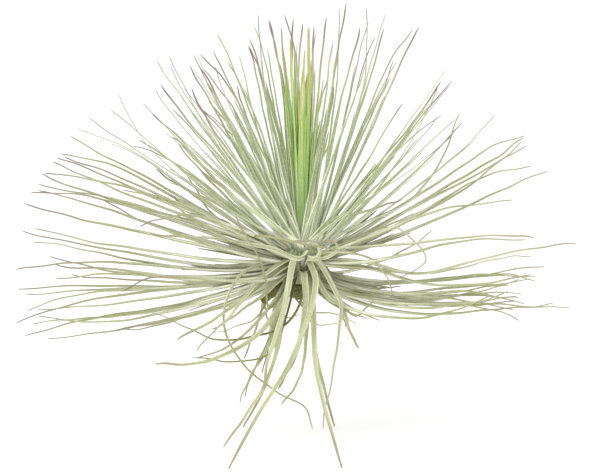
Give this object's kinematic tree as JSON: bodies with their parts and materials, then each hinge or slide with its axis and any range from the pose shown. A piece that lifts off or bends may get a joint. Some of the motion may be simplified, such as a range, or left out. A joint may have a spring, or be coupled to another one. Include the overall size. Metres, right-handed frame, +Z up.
{
  "type": "tillandsia air plant",
  "caption": "Rosette air plant with thread-tipped silvery leaves: an upright green heart, a spreading fan, drooping outer leaves it stands on, and a short woody stock with wiry roots.",
  "frame": {"origin": "on the surface the plant stands on, under the middle of its bounding box", "axes": "+Z up along the axis of the rosette, +X to the right as the picture shows the plant, +Y away from the viewer"},
  "size_m": [0.2564, 0.2178, 0.2035],
  "materials": {
    "green_leaf": "fresh green leaf under thin down",
    "silver_leaf": "silvery grey-green leaf, felted with fine scales",
    "pale_leaf": "pale grey-green leaf, felted with fine scales",
    "bark": "dry, rough, grey-brown"
  },
  "bodies": {
    "root": {"heart_leaves": "green_leaf", "upper_leaves": "silver_leaf", "lower_leaves": "pale_leaf", "stock_roots": "bark"}
  },
  "joints": []
}
